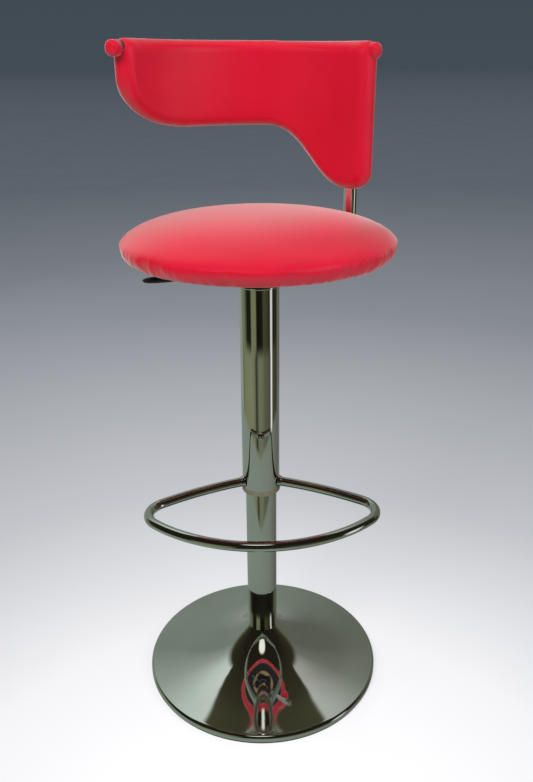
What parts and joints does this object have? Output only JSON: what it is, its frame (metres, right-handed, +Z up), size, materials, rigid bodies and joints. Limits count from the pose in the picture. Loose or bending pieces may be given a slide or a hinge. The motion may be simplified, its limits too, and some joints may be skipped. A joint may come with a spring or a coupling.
{
  "type": "adjustable swivel stool",
  "caption": "Gas-lift bar stool: trumpet base, sliding chrome column with a footrest hoop, round padded seat and wrap-round padded back on one bent tube",
  "frame": {"origin": "on the floor, under the middle of the column", "axes": "+Z up along the column; -Y towards the front bow of the footrest; +X to the right of someone looking along +Y"},
  "size_m": [0.4227, 0.4521, 1.0318],
  "materials": {
    "chrome": "bright polished chrome plate",
    "polished_steel": "ground and polished steel",
    "zinc_steel": "zinc plated steel",
    "spring_steel": "oiled spring steel",
    "cast_iron": "rough iron ring",
    "black_paint": "black powder coat",
    "brass": "plain brass",
    "rubber": "matt black rubber",
    "nylon": "white nylon",
    "clear_nylon": "milky translucent nylon",
    "black_plastic": "black moulded plastic",
    "plywood": "plain plywood",
    "foam": "open-cell foam",
    "red_vinyl": "satin red upholstery vinyl with a fine grain",
    "lining_cloth": "black non-woven lining"
  },
  "bodies": {
    "base": {"base_shell": "chrome", "base_plate": "zinc_steel", "base_weight": "cast_iron", "base_ring": "rubber", "column_flange": "zinc_steel", "flange_bolts": "zinc_steel", "column_tube": "chrome", "column_bush": "nylon", "rod_seat": "zinc_steel", "lower_race": "polished_steel"},
    "thrust_cage": {"ball_cage": "brass", "bearing_balls": "polished_steel"},
    "rod": {"piston_rod": "polished_steel", "piston_head": "zinc_steel", "rod_clip": "spring_steel", "upper_race": "polished_steel", "rod_buffer": "rubber"},
    "lever": {"lever_rod": "polished_steel", "lever_grip": "black_plastic"},
    "pin": {"release_pin": "polished_steel"},
    "lift": {"gas_cylinder": "black_paint", "rod_guide": "nylon", "sleeve_tube": "chrome", "sleeve_cap": "chrome", "sleeve_guide": "clear_nylon", "footrest_hoop": "chrome", "taper_socket": "zinc_steel", "lift_housing": "black_paint", "seat_plate": "black_paint", "plate_bolts": "zinc_steel", "tee_nuts": "zinc_steel", "lever_pin": "zinc_steel", "seat_board": "plywood", "seat_foam": "foam", "seat_cover": "red_vinyl", "dust_cover": "lining_cloth", "back_post": "chrome", "post_clamps": "zinc_steel", "clamp_screws": "zinc_steel", "post_plug": "black_plastic", "back_rail": "zinc_steel", "back_core": "plywood", "core_screws": "zinc_steel", "back_foam": "foam", "back_cover": "red_vinyl", "rail_cap_left": "red_vinyl", "rail_cap_right": "red_vinyl"}
  },
  "joints": [
    {"name": "seat_swivel", "type": "hinge", "parent": "base", "child": "rod", "pos_m": [0, 0, 0.0453], "axis": [0, 0, 1], "continuous": true},
    {"name": "cage_turn", "type": "hinge", "parent": "base", "child": "thrust_cage", "pos_m": [0, 0, 0.0411], "axis": [0, 0, 1], "continuous": true},
    {"name": "seat_height", "type": "slide", "parent": "rod", "child": "lift", "axis": [0, 0, 1], "range_m": [-0.2, 0]},
    {"name": "lever_lift", "type": "hinge", "parent": "lift", "child": "lever", "pos_m": [-0.03243, -0.01022, 0.7243], "axis": [-0.3007, 0.9537, 0], "range_deg": [0, 6], "stiffness_Nm_per_rad": 3, "springref_deg": -5.73},
    {"name": "pin_press", "type": "slide", "parent": "lift", "child": "pin", "axis": [0, 0, -1], "range_m": [0, 0.004]}
  ],
  "couplings": [
    {"joint": "cage_turn", "follows": "seat_swivel", "ratio": 0.5},
    {"joint": "pin_press", "follows": "lever_lift", "m_per_rad": 0.037}
  ]
}
